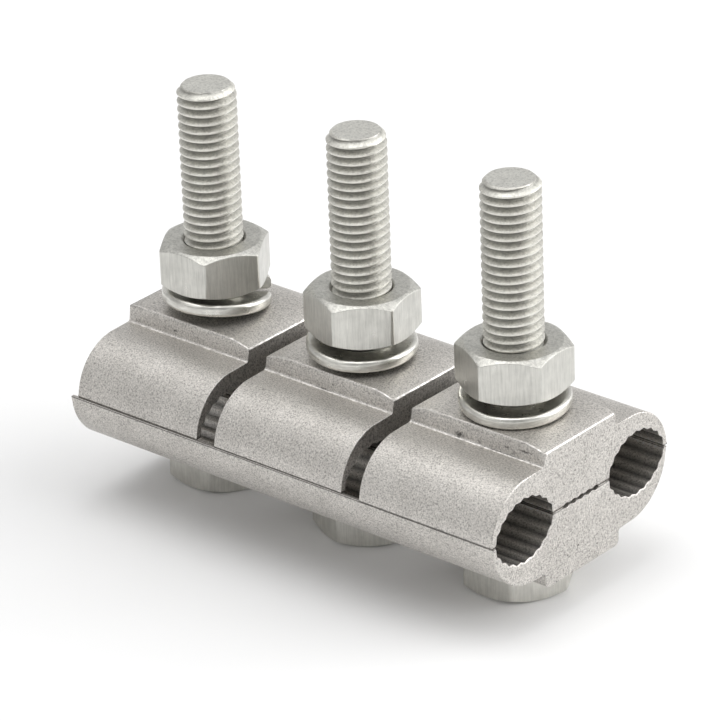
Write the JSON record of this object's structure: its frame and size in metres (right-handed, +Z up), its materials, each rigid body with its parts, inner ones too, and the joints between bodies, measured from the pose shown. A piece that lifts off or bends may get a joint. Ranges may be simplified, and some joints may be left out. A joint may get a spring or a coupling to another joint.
{
  "type": "parallel groove plate clamp",
  "caption": "Parallel-groove plate clamp for overhead conductors: a long toothed aluminium lower plate, short upper plates and zinc-plated bolts with nuts and spring washers.",
  "frame": {"origin": "on the middle bolt's axis, on the plane that the bolt heads stand on", "axes": "+X along the conductor grooves, +Y across them, +Z up along the bolts towards the nuts"},
  "size_m": [0.0912, 0.0461, 0.072],
  "materials": {
    "aluminium": "dull, fine-grained, as extruded and tumbled",
    "zinc_plated_steel": "satin zinc plating"
  },
  "bodies": {
    "base": {"lower_plate": "aluminium", "hex_bolt_1": "zinc_plated_steel", "hex_bolt_2": "zinc_plated_steel", "hex_bolt_3": "zinc_plated_steel"},
    "jaw_1": {"upper_plate_1": "aluminium", "spring_washer_1": "zinc_plated_steel"},
    "nut_1": {"hex_nut_1": "zinc_plated_steel"},
    "jaw_2": {"upper_plate_2": "aluminium", "spring_washer_2": "zinc_plated_steel"},
    "nut_2": {"hex_nut_2": "zinc_plated_steel"},
    "jaw_3": {"upper_plate_3": "aluminium", "spring_washer_3": "zinc_plated_steel"},
    "nut_3": {"hex_nut_3": "zinc_plated_steel"}
  },
  "joints": [
    {"name": "jaw_1_lift", "type": "slide", "parent": "base", "child": "jaw_1", "axis": [0, 0, 1], "range_m": [0, 0.024]},
    {"name": "nut_1_turn", "type": "hinge", "parent": "jaw_1", "child": "nut_1", "pos_m": [-0.0325, 0, 0.0402], "axis": [0, 0, 1], "range_deg": [0, 5760]},
    {"name": "jaw_2_lift", "type": "slide", "parent": "base", "child": "jaw_2", "axis": [0, 0, 1], "range_m": [0, 0.024]},
    {"name": "nut_2_turn", "type": "hinge", "parent": "jaw_2", "child": "nut_2", "pos_m": [0, 0, 0.0402], "axis": [0, 0, 1], "range_deg": [0, 5760]},
    {"name": "jaw_3_lift", "type": "slide", "parent": "base", "child": "jaw_3", "axis": [0, 0, 1], "range_m": [0, 0.024]},
    {"name": "nut_3_turn", "type": "hinge", "parent": "jaw_3", "child": "nut_3", "pos_m": [0.0319, 0, 0.0402], "axis": [0, 0, 1], "range_deg": [0, 5760]}
  ],
  "couplings": [
    {"joint": "nut_1_turn", "follows": "jaw_1_lift", "rad_per_m": 4188.8},
    {"joint": "nut_2_turn", "follows": "jaw_2_lift", "rad_per_m": 4188.8},
    {"joint": "nut_3_turn", "follows": "jaw_3_lift", "rad_per_m": 4188.8}
  ]
}
